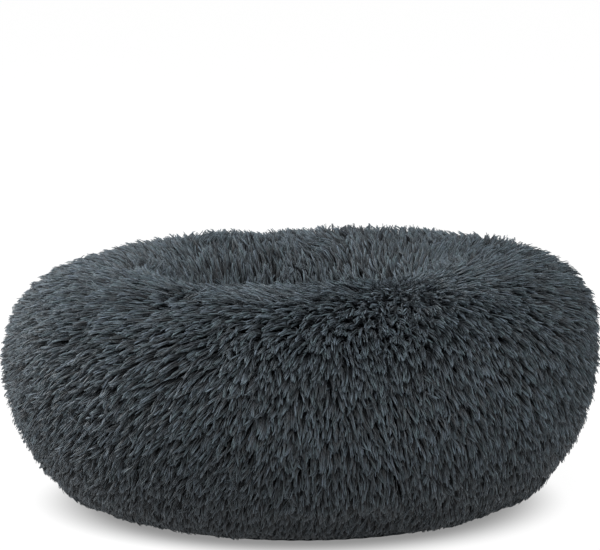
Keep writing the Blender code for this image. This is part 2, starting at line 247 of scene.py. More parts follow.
class Section:
    """The ring's fur outline from the base seam, over the crest, to the seat seam."""

    def __init__(self, ring):
        turn = np.linspace(0, pi / 2, QUARTER_STEPS)
        across, up = np.cos(turn), np.sin(turn)
        low_out = (
            ring["base_r"] + (ring["outer"] - ring["base_r"]) * across[::-1],
            ring["bulge_z"] - (ring["bulge_z"] - ring["base_z"]) * up[::-1],
        )
        high_out = (
            ring["crest"] + (ring["outer"] - ring["crest"]) * power(across, SHOULDER_FULLNESS),
            ring["bulge_z"] + (ring["top"] - ring["bulge_z"]) * power(up, SHOULDER_FULLNESS),
        )
        high_in = (
            ring["crest"] - (ring["crest"] - ring["nest"]) * power(across[::-1], NEST_FULLNESS),
            ring["waist_z"] + (ring["top"] - ring["waist_z"]) * power(up[::-1], NEST_FULLNESS),
        )
        low_in = (
            ring["seat_r"] - (ring["seat_r"] - ring["nest"]) * across,
            ring["waist_z"] - (ring["waist_z"] - ring["seat_z"]) * up,
        )
        parts = (low_out, high_out, high_in, low_in)
        r = np.concatenate([part[0] for part in parts])
        z = np.concatenate([part[1] for part in parts])
        run = np.concatenate([[0.0], np.cumsum(np.hypot(np.diff(r), np.diff(z)))])
        self.length = run[-1]
        self.s = np.linspace(0, self.length, SECTION_POINTS)
        keep = np.concatenate([[True], np.diff(run) > 1e-9])
        self.r = np.interp(self.s, run[keep], r[keep])
        self.z = np.interp(self.s, run[keep], z[keep])
        slope_r = np.gradient(self.r, self.s)
        slope_z = np.gradient(self.z, self.s)
        size = np.hypot(slope_r, slope_z)
        self.out_r = slope_z / size
        self.out_z = -slope_r / size
        self.crest_s = self.s[self.z.argmax()]
        self.room = self.measure_cover()
        self.swell = None  # set by swell_ring, before the fur and its backing are made

    def measure_cover(self):
        """How thick the CAD cover is at each place, cast inward through its mesh."""
        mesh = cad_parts["rim_cover"].data
        faces = [tuple(face.vertices) for face in mesh.polygons]
        tree = BVHTree.FromPolygons([tuple(point) for point in node_points("rim_cover")], faces)
        start, reach, least = 0.0012, 0.03, 0.004
        rooms = []
        for s, out_r, out_z in zip(self.s, self.out_r, self.out_z):
            r, z = self.at(s, start)
            hit = tree.ray_cast(Vector((r, 0, z)), Vector((-out_r, 0, -out_z)), reach)
            rooms.append(start + hit[3] if hit[0] else least)
        return np.array(rooms)

    def at(self, s, depth):
        """Radius and height this far below the outline."""
        r = np.interp(s, self.s, self.r) - depth * np.interp(s, self.s, self.out_r)
        z = np.interp(s, self.s, self.z) - depth * np.interp(s, self.s, self.out_z)
        return r, z

    def pile(self, s):
        """How deep the fur is: full, but for the two seams, where the cover is pressed flat."""
        room = np.interp(s, self.s, self.room) - BACKING_THICKNESS - 0.0008
        return np.clip(room, 0.0012, PILE_THICKNESS)

    def swelling(self, theta, s):
        """How far the stuffing pushes the cover from its plain shape, as xyz."""
        rows, columns, _ = self.swell.shape
        row = np.clip(s / self.length, 0, 1) * (rows - 1)
        column = (theta / (2 * pi) * columns) % columns
        low_row = np.minimum(row.astype(int), rows - 2)
        low_column = column.astype(int) % columns
        next_column = (low_column + 1) % columns
        up = (row - low_row)[..., None]
        on = (column - np.floor(column))[..., None]
        near = self.swell[low_row, low_column] * (1 - on) + self.swell[low_row, next_column] * on
        far = self.swell[low_row + 1, low_column] * (1 - on)
        far = far + self.swell[low_row + 1, next_column] * on
        return near * (1 - up) + far * up


def smooth_step(value, low, high):
    share = np.clip((value - low) / (high - low), 0, 1)
    return share * share * (3 - 2 * share)


def settle(points):
    """Bends ideal round shapes to the real, uneven ring. Works on an array of points."""
    theta = np.arctan2(points[..., 1], points[..., 0])
    radius = np.hypot(points[..., 0], points[..., 1])
    rise = np.clip(points[..., 2] / RING["top"], 0, 1.2)
    reach = smooth_step(radius, 0.6 * RING["nest"], RING["crest"])
    lump = sum(size * np.sin(count * theta + phase) for count, size, phase in LUMPS)
    wave = sum(size * np.cos(count * theta + 2 * phase) for count, size, phase in LUMPS)
    result = points.copy()
    result[..., 2] += reach * rise**2 * (LEAN * np.cos(theta) + lump)
    shoulder = smooth_step(radius, RING["crest"], RING["outer"]) * rise**4
    result[..., 2] -= SLUMP * shoulder * np.maximum(-np.cos(theta), 0) ** 2
    swell = 1 + reach * rise * wave / RING["crest"]
    result[..., 0] *= swell
    result[..., 1] *= swell
    return result


# ---------------------------------------------------------------- fur


def soft_noise(theta, s, waves, phase):
    """A smooth, even unevenness over the ring, about -1 to 1."""
    x, y, z = np.cos(theta) * waves, np.sin(theta) * waves, s * waves * 6
    total = np.sin(x * 1.7 + z * 0.9 + phase) * np.cos(y * 1.3 - z * 0.6 + 1.7 * phase)
    total += 0.6 * np.sin(y * 2.9 + z * 1.9 + 2.3 * phase) * np.cos(x * 2.3 + 0.7 * phase)
    return total / 1.3


def from_front(theta, shift=0.0):
    """The angle round from the front, -pi to pi, growing to the right."""
    turned = theta + pi / 2 - shift
    return np.arctan2(np.sin(turned), np.cos(turned))


def ring_flow(theta, s, section):
    """The angle of the fur from straight down the outer wall, anticlockwise seen from above.

    The fur runs out of the nest, over the crest and down, brushed to each side of the front.
    """
    outward = section.crest_s - s
    high = 1 - smooth_step(outward, 0.03, 0.11)
    around = from_front(theta, radians(8) + radians(18) * high)
    side = np.sin(around)
    left = radians(LEFT_SWEEP) * (1 - 0.6 * high)
    side = np.where(side > 0, radians(RIGHT_SWEEP) * np.abs(side) ** 1.8, left * side)
    lean = side * (0.5 + 0.5 * smooth_step(s, 0.02, 0.10))
    off = from_front(theta) - radians(CREST_SWEEP_PLACE)
    front = np.exp(-((off / radians(CREST_SWEEP_WIDTH)) ** 2))
    lean -= radians(CREST_SWEEP) * front * np.exp(-((outward / CREST_SWEEP_REACH) ** 2))
    for place, out, size, turn in WHORLS:
        off = from_front(theta, radians(place)) * RING["crest"]
        away = (off**2 + (outward - out) ** 2) / size**2
        lean += radians(turn) * np.exp(-away)
    for waves, phase in ((3.0, 0.8), (10.0, 2.6)):
        lean += radians(UNEVEN_SWEEP) * soft_noise(theta, s, waves, phase)
    return lean


def seed_ring(rng, section, start, end):
    """Evenly scattered roots on the ring: angles and places along the section."""
    thetas, places = [], []
    for s in np.arange(start, end, LOCK_SPACING * 0.92):
        radius, _ = section.at(s, 0.0)
        count = int(2 * pi * radius / LOCK_SPACING)
        theta = (np.arange(count) + rng.random()) * 2 * pi / count
        theta += rng.uniform(-0.45, 0.45, count) * LOCK_SPACING / radius
        thetas.append(theta)
        places.append(s + rng.uniform(-0.45, 0.45, count) * LOCK_SPACING)
    return np.concatenate(thetas), np.clip(np.concatenate(places), start, end)


def bunch(theta, s, radius):
    """Sideways pull of the strands towards the middles of loose bunches, in metres."""
    across = theta * radius / BUNCH_PITCH + 1.1 * soft_noise(theta, s, 7.0, 1.9)
    along = s / (2.2 * BUNCH_PITCH) + 0.9 * soft_noise(theta, s, 6.0, 4.2)
    shift = 0.5 * np.floor(along)
    return -BUNCH_PULL * np.sin(2 * pi * (across + shift))


def comb_ring(rng, section, theta, s):
    """Paths of the locks: angle, place on the section and lift at each stop; and the lengths."""
    count = len(theta)
    around = from_front(theta)
    left = np.where(around < 0, np.sin(around) ** 2, 0.25 * np.sin(around) ** 2)
    crest = 1 - smooth_step(section.crest_s - s, 0.02, 0.09)
    longer = np.maximum(left, crest)
    length = LOCK_LENGTH * rng.uniform(*LENGTH_RANGE, count)
    length *= SHORT_SHARE + (1 - SHORT_SHARE) * longer
    turn = rng.normal(0, radians(LOCK_TURN), count)
    curl = rng.normal(0, radians(LOCK_CURL), count)
    wild = rng.random(count) < WILD_SHARE
    turn[wild] += rng.normal(0, radians(WILD_TURN), wild.sum())
    lift = rng.uniform(*LIFT_RANGE, count)
    rows_theta, rows_s, rows_lift = [theta], [s], [np.zeros(count)]
    pull = bunch(theta, s, section.at(s, 0.0)[0])
    for before, stop in zip(STRAND_STOPS, STRAND_STOPS[1:]):
        step = (stop - before) * length
        lean = ring_flow(theta, s, section) + turn + curl * (stop - 0.4)
        radius, _ = section.at(s, 0.0)
        s = s - step * np.cos(lean)
        sideways = step * np.sin(lean) + pull * (stop**2 - before**2)
        theta = theta + sideways / radius
        rows_theta.append(theta)
        rows_s.append(s)
        rows_lift.append(lift * (1 - (1 - stop) ** 1.7))
    return np.array(rows_theta), np.array(rows_s), np.array(rows_lift), length


def ring_strands(rng, section, theta, s):
    """Points of every strand: strands by stops by xyz; and each strand's shade, darkened near the
    floor as painted shade, and width.
    """
    path_theta, path_s, path_lift, length = comb_ring(rng, section, theta, s)
    stops = np.array(STRAND_STOPS)[:, None]
    count = len(theta)
    points, shades, widths = [], [], []
    height = section.at(s, 0.0)[1]
    # Painted shade: locks low on the ring are made darker towards the floor.
    lock_shade = rng.random(count) * (0.15 + 0.85 * smooth_step(height, *PAINTED_SHADE_HEIGHTS))
    gather = 1 - 0.62 * stops**0.8
    spring = 0.30 * (stops * length) ** 2 / (2 * 0.085)
    for number, width in enumerate(LOCK_STRANDS):
        spread = LOCK_SPACING * LOCK_SPREAD[min(number, 1)]
        off_s = rng.normal(0, spread, count)
        off_t = rng.normal(0, spread, count)
        wiggle = rng.normal(0, STRAND_WIGGLE, (2, len(STRAND_STOPS), count))
        wiggle = wiggle * stops * (1.3 - stops)
        stretch = rng.uniform(0.84, 1.0, count)
        now_s = path_s[0] + (path_s - path_s[0]) * stretch + off_s * gather + wiggle[0]
        radius, _ = section.at(np.clip(now_s, 0, section.length), 0.0)
        sideways = off_t * gather + wiggle[1]
        now_t = path_theta[0] + (path_theta - path_theta[0]) * stretch + sideways / radius
        lift = path_lift * rng.uniform(0.84, 1.05, count)
        low = 0.010
        soft_s = np.where(now_s < low, low * np.exp((now_s - low) / low), now_s)
        r, z = section.at(soft_s, section.pile(soft_s) * (1 - lift) - spring)
        z = np.maximum(z, 0.0012)
        r = np.where(z < 0.0045, np.maximum(r, BASE["radius"] + BINDING_ROOM), r)
        xyz = np.stack([r * np.cos(now_t), r * np.sin(now_t), z], axis=-1)
        xyz = settle(xyz + section.swelling(now_t, soft_s))
        xyz[..., 2] = np.maximum(xyz[..., 2], LEAST_HEIGHT)
        points.append(xyz.transpose(1, 0, 2))
        shades.append(strand_shades(rng, lock_shade))
        widths.append(np.full(count, width))
    return np.concatenate(points), np.concatenate(shades), np.concatenate(widths)


def strand_shades(rng, lock_shade):
    """The shade of one strand of every lock, near the shade of its lock."""
    shade = lock_shade + rng.normal(0, SHADE_SPREAD, len(lock_shade))
    return np.clip(shade, 0.02, 0.98)


def unit(vectors):
    """The vectors, each brought to a length of one."""
    return vectors / (np.linalg.norm(vectors, axis=-1, keepdims=True) + 1e-12)


def tube_mesh(name, rng, points, shades, widths):
    """One mesh of tapered three-sided strands, with a map of shade across and stop along."""
    strands, stops, _ = points.shape
    along = unit(np.gradient(points, axis=1))
    side = unit(np.cross(along, [0.31, 0.17, 0.93]))
    other = np.cross(along, side)
    roll = rng.uniform(0, 2 * pi, strands)
    rings = stops - 1
    thick = STRAND_RADIUS * widths * rng.uniform(0.8, 1.2, strands)
    verts = np.empty((strands, rings * 3 + 1, 3))
    for ring in range(rings):
        for corner in range(3):
            angle = roll + 2 * pi * corner / 3
            wide = (thick * STRAND_WIDTHS[ring])[:, None]
            offset = np.cos(angle)[:, None] * side[:, ring] + np.sin(angle)[:, None] * other[:, ring]
            verts[:, ring * 3 + corner] = points[:, ring] + wide * offset
    verts[:, -1] = points[:, -1]
    quads, quad_rows, quad_sides = [], [], []
    for ring in range(rings - 1):
        for corner in range(3):
            follow = (corner + 1) % 3
            a, b = ring * 3 + corner, ring * 3 + follow
            quads.append((a, b, b + 3, a + 3))
            quad_rows.append((ring, ring, ring + 1, ring + 1))
            quad_sides.append((0, 1, 1, 0))
    last = (rings - 1) * 3
    tips = [(last + corner, last + (corner + 1) % 3, rings * 3) for corner in range(3)]
    tips.append((2, 1, 0))
    tip_rows = [(rings - 1, rings - 1, rings)] * 3 + [(0, 0, 0)]
    tip_sides = [(0, 1, 0.5)] * 3 + [(0, 0.5, 1)]
    loops = np.array(sum(quads, ()) + sum(tips, ()))
    rows = np.array(sum(quad_rows, ()) + sum(tip_rows, ()))
    sides = np.array(sum(quad_sides, ()) + sum(tip_sides, ()))
    sizes = np.array([4] * len(quads) + [3] * len(tips))
    per = rings * 3 + 1
    index = (loops[None, :] + per * np.arange(strands)[:, None]).ravel()
    starts = np.concatenate([[0], np.cumsum(np.tile(sizes, strands))[:-1]])
    mesh = bpy.data.meshes.new(name)
    mesh.vertices.add(strands * per)
    mesh.vertices.foreach_set("co", verts.astype(np.float32).ravel())
    mesh.loops.add(len(index))
    mesh.loops.foreach_set("vertex_index", index.astype(np.int32))
    mesh.polygons.add(len(starts))
    mesh.polygons.foreach_set("loop_start", starts.astype(np.int32))
    mesh.update(calc_edges=True)
    mesh.shade_smooth()
    layer = mesh.uv_layers.new(name="OFBake")
    stop_values = np.array(STRAND_STOPS)
    # u holds each strand's shade: a random tone, and on the ring also painted shade near the floor.
    u = shades[:, None] * 0.97 + 0.01 + 0.012 * sides[None, :]
    v = np.broadcast_to(stop_values[rows] * 0.96 + 0.02, u.shape)
    layer.data.foreach_set("uv", np.stack([u, v], axis=-1).astype(np.float32).ravel())
    return mesh


def make_ring_fur(section, material):
    rng = np.random.default_rng(SEED)
    theta, s = seed_ring(rng, section, 0.012, section.length - 0.004)
    points, shades, widths = ring_strands(rng, section, theta, s)
    root_angle = np.arctan2(points[:, 0, 1], points[:, 0, 0]) % (2 * pi)
    sector = (root_angle / (2 * pi) * RING_SECTORS).astype(int)
    for number in range(RING_SECTORS):
        mine = sector == number
        name = f"rim_fur_{number + 1:02d}"
        mesh = tube_mesh(name, rng, points[mine], shades[mine], widths[mine])
        add_piece(name, mesh, material, stands_for=["rim_cover"])


def seat_height(seat, radius):
    """Height of the seat's fur outline: a low crown that pulls in at the seam."""
    share = np.clip(radius / seat["radius"], 0, 1)
    return seat["seam"] + (seat["top"] - seat["seam"]) * (1 - share**2.6)


def make_seat_fur(seat, material):
    rng = np.random.default_rng(SEED + 1)
    x, y = np.meshgrid(*[np.arange(-seat["radius"], seat["radius"], SEAT_SPACING)] * 2)
    x = x.ravel() + rng.uniform(-0.45, 0.45, x.size) * SEAT_SPACING
    y = y.ravel() + rng.uniform(-0.45, 0.45, y.size) * SEAT_SPACING
    inside = np.hypot(x, y) < seat["radius"] - 0.004
    x, y = x[inside], y[inside]
    count = len(x)
    stops = np.array(STRAND_STOPS)[:, None]
    lock_shade = rng.random(count)
    turn = rng.normal(0, radians(SEAT_TURN), count)
    lift = rng.uniform(*SEAT_LIFT, count)
    points, shades, widths = [], [], []
    for number, width in enumerate(LOCK_STRANDS):
        off = rng.normal(0, SEAT_SPACING * SEAT_SPREAD[min(number, 1)], (2, count))
        now_x, now_y = x + off[0], y + off[1]
        path = [np.stack([now_x, now_y])]
        for before, stop in zip(STRAND_STOPS, STRAND_STOPS[1:]):
            wave = 0.9 * np.sin(now_x * 38 + 1.0) * np.cos(now_y * 31) + 0.5 * np.sin(now_y * 77)
            heading = radians(SEAT_HEADING) + wave + turn
            step = (stop - before) * SEAT_LENGTH
            now_x = now_x + step * np.cos(heading) - off[0] * 0.9 * (stop - before)
            now_y = now_y + step * np.sin(heading) - off[1] * 0.9 * (stop - before)
            path.append(np.stack([now_x, now_y]))
        path = np.array(path)
        radius = np.hypot(path[:, 0], path[:, 1])
        limit = np.minimum(1, (seat["radius"] - 0.001) / radius)
        path *= limit[:, None]
        rise = SEAT_PILE * (lift * rng.uniform(0.85, 1.1, count) * (1 - (1 - stops) ** 1.7) - 1)
        z = seat_height(seat, radius * limit) + rise
        points.append(np.stack([path[:, 0], path[:, 1], z], axis=-1).transpose(1, 0, 2))
        shades.append(strand_shades(rng, lock_shade))
        widths.append(np.full(count, width))
    points, shades, widths = (np.concatenate(part) for part in (points, shades, widths))
    mesh = tube_mesh("seat_pile", rng, points, shades, widths)
    add_piece("seat_pile", mesh, material, stands_for=["seat_cover"])


# ---------------------------------------------------------------- cloth under the fur


def add_piece(name, mesh, material, body="bed", stands_for=()):
    """A finished piece: its mesh in the scene, its finish, the body it rides and its nodes."""
    obj = bpy.data.objects.new(name, mesh)
    bpy.context.scene.collection.objects.link(obj)
    mesh.materials.append(material)
    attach(obj, body)
    if stands_for:
        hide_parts(*stands_for)
    return obj


def finish_mesh(builder, name):
    """A smooth mesh of what has been built, its faces turned outward."""
    bmesh.ops.recalc_face_normals(builder, faces=builder.faces)
    mesh = bpy.data.meshes.new(name)
    builder.to_mesh(mesh)
    builder.free()
    mesh.shade_smooth()
    return mesh


def close_grid(name, top, bottom, wrap=False):
    """A closed body between two grids of points. With wrap, the last column meets the first."""
    rows, columns, _ = top.shape
    builder = bmesh.new()
    upper = [[builder.verts.new(point) for point in row] for row in top]
    lower = [[builder.verts.new(point) for point in row] for row in bottom]
    steps = range(columns if wrap else columns - 1)
    for row in range(rows - 1):
        for column in steps:
            after = (column + 1) % columns
            square = ((row, column), (row, after), (row + 1, after), (row + 1, column))
            builder.faces.new([upper[i][j] for i, j in square])
            builder.faces.new([lower[i][j] for i, j in reversed(square)])
    for column in steps:
        after = (column + 1) % columns
        for row in (0, rows - 1):
            edge = (upper[row][column], upper[row][after], lower[row][after], lower[row][column])
            builder.faces.new(edge)
    if not wrap:
        for row in range(rows - 1):
            for column in (0, columns - 1):
                edge = (upper[row][column], upper[row + 1][column])
                builder.faces.new((*edge, lower[row + 1][column], lower[row][column]))
    return finish_mesh(builder, name)


def turned_grid(radius, height, segments):
    """Points of a line of radii and heights turned around Z, as rows by segments by xyz."""
    theta = np.arange(segments) * 2 * pi / segments
    x = radius[:, None] * np.cos(theta)
    y = radius[:, None] * np.sin(theta)
    return np.stack([x, y, np.broadcast_to(height[:, None], x.shape)], axis=-1)


def inflate(name, grid, pinned_rows):
    """The shape that a stuffed cover takes: a cloth simulation of this grid under pressure.

    The grid's last column meets its first. The pinned rows are sewn down.
    """
    rows, columns, _ = grid.shape
    index = np.arange(rows * columns).reshape(rows, columns)
    after = np.roll(index, -1, axis=1)
    quads = np.stack([index[:-1], after[:-1], after[1:], index[1:]], axis=-1).reshape(-1, 4)
    mesh = bpy.data.meshes.new(name)
    mesh.from_pydata(grid.reshape(-1, 3).tolist(), [], quads.tolist())
    obj = bpy.data.objects.new(name, mesh)
    scene = bpy.context.scene
    scene.collection.objects.link(obj)
    seam = obj.vertex_groups.new(name="seam")
    seam.add(index[pinned_rows].ravel().tolist(), 1.0, "REPLACE")
    cloth = obj.modifiers.new("cloth", "CLOTH")
    cloth.settings.quality = 5
    cloth.settings.mass = 0.25
    cloth.settings.bending_stiffness = 0.4
    cloth.settings.air_damping = 4.0
    cloth.settings.vertex_group_mass = "seam"
    cloth.settings.use_pressure = True
    cloth.settings.uniform_pressure_force = SIM_PRESSURE
    cloth.settings.shrink_min = -SIM_SLACK
    cloth.settings.effector_weights.gravity = 0.0
    cloth.collision_settings.use_collision = False
    cloth.point_cache.frame_start = 1
    cloth.point_cache.frame_end = SIM_FRAMES
    for number in range(1, SIM_FRAMES + 1):
        scene.frame_set(number)
    shaped = obj.evaluated_get(bpy.context.evaluated_depsgraph_get()).to_mesh()
    result = mesh_points(shaped).reshape(grid.shape).astype(float)
    bpy.data.objects.remove(obj)
    bpy.data.meshes.remove(mesh)
    scene.frame_set(1)
    return result


def cap_moves(moves, limit):
    """The moves, none longer than the limit."""
    size = np.linalg.norm(moves, axis=-1, keepdims=True)
    return moves * np.minimum(1, limit / (size + 1e-9))


def smooth_grid(moves, passes):
    """Evens out a grid of moves whose columns go round and whose end rows stay."""
    for _ in range(passes):
        sides = (np.roll(moves, 1, axis=1) + np.roll(moves, -1, axis=1)) / 2
        rows = moves.copy()
        rows[1:-1] = (moves[2:] + moves[:-2]) / 2
        moves = 0.5 * moves + 0.25 * sides + 0.25 * rows
    return moves


def swell_ring(section):
    """Inflates the ring's cover between its two seams, for the fur to follow."""
    rows, columns = RING_CLOTH
    s = np.linspace(0, section.length, rows)
    inset = SIM_START * np.clip(np.minimum(s, section.length - s) / 0.02, 0, 1)
    start = turned_grid(*section.at(s, section.pile(s) + inset), columns)
    start += 0.5 * (settle(start) - start)
    shaped = inflate("ring_cloth", start, [0, 1, rows - 2, rows - 1])
    from_seam = smooth_step(np.minimum(s, section.length - s), 0.0, SEAM_FADE)
    section.swell = unevenness(start, shaped) * from_seam[:, None, None]


def unevenness(start, shaped):
    """What the simulation adds to a turned shape: its folds, without the even swelling.

    The even part is left out because the section already has the stuffed bed's profile.
    """
    moves = shaped - start
    theta = np.arctan2(start[..., 1], start[..., 0])
    out = np.stack([np.cos(theta), np.sin(theta), 0 * theta], axis=-1)
    up = np.array([0.0, 0.0, 1.0])
    push = (moves * out).sum(axis=-1, keepdims=True)
    rise = moves[..., 2:]
    even = push.mean(axis=1, keepdims=True) * out + rise.mean(axis=1, keepdims=True) * up
    return smooth_grid(cap_moves(SIM_FOLDS * (moves - even), SIM_LIMIT), 2)


def make_ring_backing(section, material):
    """The fur's knitted backing, a closed shell under the pile."""
    rows, columns = RING_BACKING
    s = np.linspace(0.002, section.length - 0.002, rows)
    theta = np.arange(columns) * 2 * pi / columns
    moved = section.swelling(*np.meshgrid(theta, s))
    outer = turned_grid(*section.at(s, section.pile(s) + 0.0004), columns) + moved
    inner = turned_grid(*section.at(s, section.pile(s) + BACKING_THICKNESS), columns) + moved
    outer[..., 2] = np.maximum(outer[..., 2], RING["base_z"] + 0.0002)
    inner[..., 2] = np.maximum(inner[..., 2], RING["base_z"] + 0.0012)
    mesh = close_grid("rim_backing", settle(outer), settle(inner), wrap=True)
    piece = add_piece("rim_backing", mesh, material, stands_for=["rim_cover"])


def seat_grid(seat, depth):
    """The seat's cloth this far under its fur. Rows go from the middle outward."""
    rows, columns = SEAT_CLOTH
    radius = np.linspace(0.03, 1, rows) * seat["radius"]
    return turned_grid(radius, seat_height(seat, radius) - SEAT_PILE - depth, columns)


def swell_seat(seat):
    """Inflates the seat's cover inside its seam."""
    start = seat_grid(seat, 0.001)
    start[1:-2, :, 2] += 0.0006 * np.sin(start[1:-2, :, 0] * 90) * np.cos(start[1:-2, :, 1] * 70)
    rows = len(start)
    return unevenness(start, inflate("seat_cloth", start, [0, rows - 2, rows - 1]))


def make_seat_backing(seat, swell, material):
    """The seat's knitted backing: a crowned round pad that pulls in at its seam."""
    grids = []
    for depth in (0.0006, 0.0020):
        grid = seat_grid(seat, depth) + swell
        middle = np.broadcast_to(grid[:1].mean(axis=1, keepdims=True), grid[:1].shape)
        grids.append(np.concatenate([middle, grid]))
    mesh = close_grid("seat_backing", *grids, wrap=True)
    builder = bmesh.new()
    builder.from_mesh(mesh)
    bmesh.ops.remove_doubles(builder, verts=builder.verts, dist=1e-5)
    builder.to_mesh(mesh)
    builder.free()
    piece = add_piece("seat_backing", mesh, material, stands_for=["seat_cover"])


def soften(node, name, material, wave, pitch=0.03):
    """A soft layer from its CAD solid: subdivided once and gently crumpled."""
    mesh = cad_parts[node].data.copy()
    mesh.name = name
    mesh.materials.clear()
    builder = bmesh.new()
    builder.from_mesh(mesh)
    bmesh.ops.remove_doubles(builder, verts=builder.verts, dist=1e-6)
    bmesh.ops.subdivide_edges(builder, edges=builder.edges, cuts=1, use_grid_fill=True)
    builder.to_mesh(mesh)
    builder.free()
    points = mesh_points(mesh)
    turn = points * (2 * pi / pitch)
    crumple = np.sin(turn[:, 0] + 1.3 * np.sin(turn[:, 1])) * np.cos(turn[:, 1] + 0.7)
    radius = np.hypot(points[:, 0], points[:, 1]) + 1e-9
    points[:, :2] *= (1 + wave * crumple / radius)[:, None]
    mesh.vertices.foreach_set("co", settle(points).ravel())
    mesh.update()
    mesh.shade_smooth()
    return add_piece(name, mesh, material, stands_for=[node])


# ---------------------------------------------------------------- base and its zip


def half_disc_grid(side, inner, low, thickness, columns, rows):
    """Two grids over one half of the base, from the zip's opening to the round edge.

    inner and low are functions: of x, where the cloth starts, and of x and y, how high it lies.
    """
    x = -np.cos(np.linspace(0.06, pi - 0.06, columns)) * BASE["radius"]
    edge = np.sqrt(BASE["radius"] ** 2 - x**2)
    start = np.minimum(inner(x), edge - 0.0008)
    share = np.linspace(0, 1, rows)[:, None] ** 1.3
    y = side * (start + (edge - start) * share)
    x = np.broadcast_to(x, y.shape)
    z = low(x, y)
    bottom = np.stack([x, y, z], axis=-1)
    top = np.stack([x, y, z + thickness(x, y)], axis=-1)
    return top, bottom


def beside_zip(x):
    """1 beside the zip's opening and 0 past its ends."""
    return 1 - smooth_step(np.abs(x), OPENING["half_length"], OPENING["half_length"] + 0.003)


def opening_edge(x):
    """How far from the middle line the cloth starts: beside the zip, or past its ends."""
    slit = 0.00015
    return slit + (OPENING["half_width"] - slit) * beside_zip(x)


def base_ripple(x, y):
    """Small puckers of the base cloth, strongest by its round seam and by the zip."""
    radius = np.hypot(x, y)
    theta = np.arctan2(y, x)
    near_edge = smooth_step(radius, 0.62 * BASE["radius"], 0.99 * BASE["radius"])
    pucker = near_edge * (0.5 + 0.5 * np.sin(74 * theta + 3 * np.sin(5 * theta)))
    wide = 0.5 + 0.5 * np.sin(x * 61 + 2.0 * np.sin(y * 43)) * np.cos(y * 57)
    return 0.00018 * pucker + 0.00022 * wide


def make_base(word, side, cloth, wadding, thread):
    """One half of the base: its cloth, hemmed along the zip, its wadding and the stitches."""

    def cloth_wall(x, y):
        near = 1 - smooth_step(np.abs(y), OPENING["hem"] - 0.0006, OPENING["hem"])
        return 0.0009 + 0.0024 * beside_zip(x) * near

    top, bottom = half_disc_grid(side, opening_edge, base_ripple, cloth_wall, 260, 70)
    mesh = close_grid(f"base_cloth_{word}", top, bottom)
    piece = add_piece(mesh.name, mesh, cloth, stands_for=[f"base_panel_{word}"])

    def wadding_edge(x):
        return np.full_like(x, OPENING["hem"] + 0.0006)

    def wadding_low(x, y):
        return 0.0022 + 0.0002 * np.sin(x * 90) * np.cos(y * 80)

    def wadding_wall(x, y):
        fade = smooth_step(BASE["radius"] - np.hypot(x, y), 0.0005, 0.006)
        return 0.0012 + (0.0024 + 0.0003 * np.sin(x * 140 + y * 60)) * fade

    top, bottom = half_disc_grid(side, wadding_edge, wadding_low, wadding_wall, 90, 24)
    mesh = close_grid(f"wadding_{word}", top, bottom)
    piece = add_piece(mesh.name, mesh, wadding, stands_for=[f"base_wadding_{word}"])

    lines = []
    for offset in (0.0024, OPENING["hem"] - OPENING["half_width"] - 0.0016):
        y = side * (OPENING["half_width"] + offset)
        x = np.arange(-OPENING["half_length"] + 0.004, OPENING["half_length"] - 0.004, HEM_STITCH)
        lines.append(np.stack([x, np.full_like(x, y), np.full_like(x, 0.0004)], axis=-1))
    places = np.concatenate(lines)
    places[:, 2] += base_ripple(places[:, 0], places[:, 1])
    along = np.broadcast_to([1.0, 0.0, 0.0], places.shape)
    mesh = stitch_mesh(f"hem_stitches_{word}", places, along, 0.72 * HEM_STITCH, 0.00028)
    add_piece(mesh.name, mesh, thread)


def stitch_mesh(name, places, along, length, radius):
    """A row of thread stitches: short rounded bars that dip at both ends."""
    stops = np.array([-0.5, -0.38, -0.15, 0.15, 0.38, 0.5])
    width = np.array([0.35, 0.9, 1.0, 1.0, 0.9, 0.35])
    dip = -0.9 * radius * (2 * np.abs(stops)) ** 3
    along = along / np.linalg.norm(along, axis=1, keepdims=True)
    across = np.cross(along, [0.0, 0.0, 1.0])
    turn = np.arange(ROUND_SIDES) * 2 * pi / ROUND_SIDES
    centre = places[:, None] + along[:, None] * (stops * length)[None, :, None]
    centre[..., 2] -= dip[None, :]
    ring = centre[:, :, None, :] + np.zeros((1, 1, ROUND_SIDES, 1))
    ring = ring + across[:, None, None] * (np.cos(turn) * width[:, None] * radius)[None, :, :, None]
    ring[..., 2] += (np.sin(turn) * width[:, None] * radius)[None]
    builder = bmesh.new()
    for bar in ring:
        loops = [[builder.verts.new(point) for point in loop] for loop in bar]
        for low, high in zip(loops, loops[1:]):
            for step in range(ROUND_SIDES):
                follow = (step + 1) % ROUND_SIDES
                builder.faces.new((low[step], low[follow], high[follow], high[step]))
        builder.faces.new(loops[0][::-1])
        builder.faces.new(loops[-1])
    return finish_mesh(builder, name)


def binding_ripple(theta):
    return 0.00018 * np.sin(63 * theta + 2 * np.sin(4 * theta))


